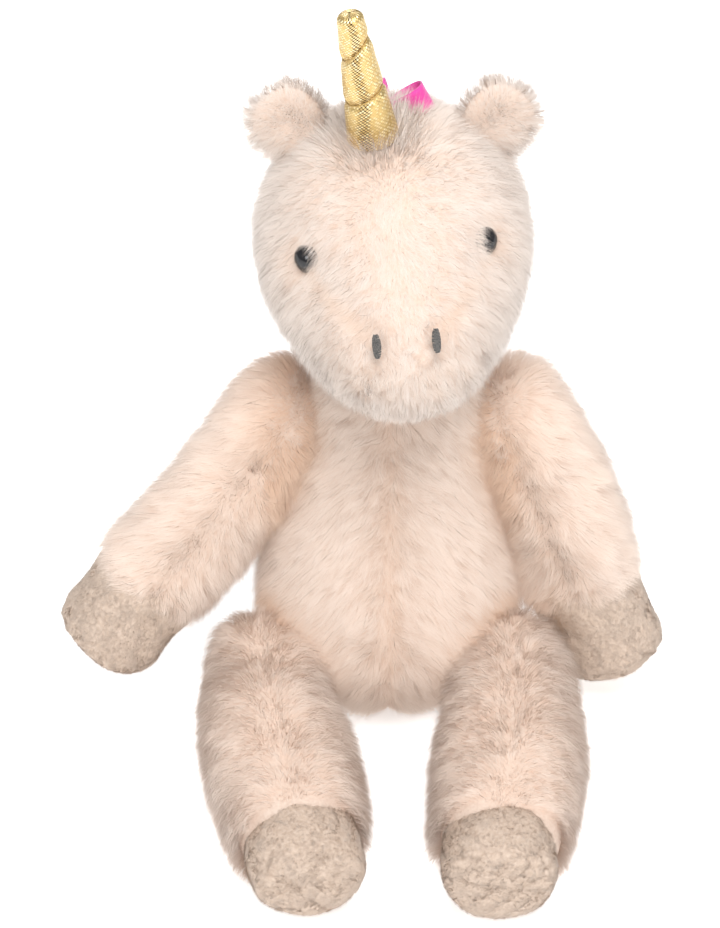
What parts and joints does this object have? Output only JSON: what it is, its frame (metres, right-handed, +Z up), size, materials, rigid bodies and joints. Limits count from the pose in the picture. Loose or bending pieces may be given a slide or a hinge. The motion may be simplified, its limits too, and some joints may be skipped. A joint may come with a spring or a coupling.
{
  "type": "plush unicorn",
  "caption": "Seated plush unicorn with cream fur, beige short-pile hooves, a gold foil horn and pink ribbon trims.",
  "frame": {"origin": "centre of the flat seat under the torso, where the toy rests", "axes": "+Z up through the torso; -Y the way the face and feet point; left and right in names are the viewer's, so left is -X"},
  "size_m": [0.2409, 0.2229, 0.3065],
  "materials": {
    "body_fur": "matte",
    "head_fur": "matte",
    "hoof_pile": "matte",
    "stuffing": "matte",
    "pellets": "matte",
    "eye": "gloss",
    "washer": "matte",
    "thread": "satin",
    "foil": "gloss",
    "gold_thread": "satin",
    "ribbon": "satin"
  },
  "bodies": {
    "torso": {"body_front_left": "body_fur", "body_front_right": "body_fur", "body_back": "body_fur", "body_stuffing": "stuffing", "pellet_bag": "pellets"},
    "neck": {"neck_seam": "body_fur"},
    "head": {"head_side_left": "head_fur", "head_side_right": "head_fur", "head_gusset": "head_fur", "head_stuffing": "stuffing", "eye_left": "eye", "eye_right": "eye", "eye_washer_left": "washer", "eye_washer_right": "washer", "nostril_left": "thread", "nostril_right": "thread", "horn_cover": "foil", "horn_stuffing": "stuffing", "horn_thread": "gold_thread", "mane_ribbon": "ribbon"},
    "tail": {"tail_ribbon": "ribbon"},
    "ear_left": {"ear_front_left": "head_fur", "ear_rear_left": "head_fur"},
    "arm_left": {"arm_outer_left": "body_fur", "arm_inner_left": "body_fur", "arm_stuffing_left": "stuffing", "hand_cuff_left": "hoof_pile", "hand_sole_left": "hoof_pile", "hand_filling_left": "pellets"},
    "leg_left": {"leg_outer_left": "body_fur", "leg_inner_left": "body_fur", "leg_stuffing_left": "stuffing", "foot_cuff_left": "hoof_pile", "foot_sole_left": "hoof_pile", "foot_filling_left": "pellets"},
    "ear_right": {"ear_front_right": "head_fur", "ear_rear_right": "head_fur"},
    "arm_right": {"arm_outer_right": "body_fur", "arm_inner_right": "body_fur", "arm_stuffing_right": "stuffing", "hand_cuff_right": "hoof_pile", "hand_sole_right": "hoof_pile", "hand_filling_right": "pellets"},
    "leg_right": {"leg_outer_right": "body_fur", "leg_inner_right": "body_fur", "leg_stuffing_right": "stuffing", "foot_cuff_right": "hoof_pile", "foot_sole_right": "hoof_pile", "foot_filling_right": "pellets"}
  },
  "joints": [
    {"name": "head_turn", "type": "hinge", "parent": "torso", "child": "neck", "pos_m": [0.0045, 0, 0.163], "axis": [0, 0, 1], "range_deg": [-35, 35]},
    {"name": "head_nod", "type": "hinge", "parent": "neck", "child": "head", "pos_m": [0.0045, 0, 0.163], "axis": [1, 0, 0], "range_deg": [-15, 18]},
    {"name": "ear_fold_left", "type": "hinge", "parent": "head", "child": "ear_left", "pos_m": [-0.03488, 0.00621, 0.25066], "axis": [0.759, 0.0464, 0.6494], "range_deg": [-25, 25]},
    {"name": "ear_fold_right", "type": "hinge", "parent": "head", "child": "ear_right", "pos_m": [0.03696, 0.01061, 0.24941], "axis": [0.7359, 0.045, -0.6756], "range_deg": [-25, 25]},
    {"name": "arm_raise_left", "type": "hinge", "parent": "torso", "child": "arm_left", "pos_m": [-0.039, 0, 0.129], "axis": [0, 1, 0], "range_deg": [0, 75]},
    {"name": "arm_raise_right", "type": "hinge", "parent": "torso", "child": "arm_right", "pos_m": [0.045, 0, 0.129], "axis": [0, -1, 0], "range_deg": [0, 75]},
    {"name": "leg_lift_left", "type": "hinge", "parent": "torso", "child": "leg_left", "pos_m": [-0.049, -0.03, 0.035], "axis": [-1, 0, 0], "range_deg": [0, 50]},
    {"name": "leg_lift_right", "type": "hinge", "parent": "torso", "child": "leg_right", "pos_m": [0.047, -0.03, 0.035], "axis": [-1, 0, 0], "range_deg": [0, 50]},
    {"name": "tail_lift", "type": "hinge", "parent": "torso", "child": "tail", "pos_m": [0, 0.0555, 0.054], "axis": [1, 0, 0], "range_deg": [0, 60]}
  ]
}
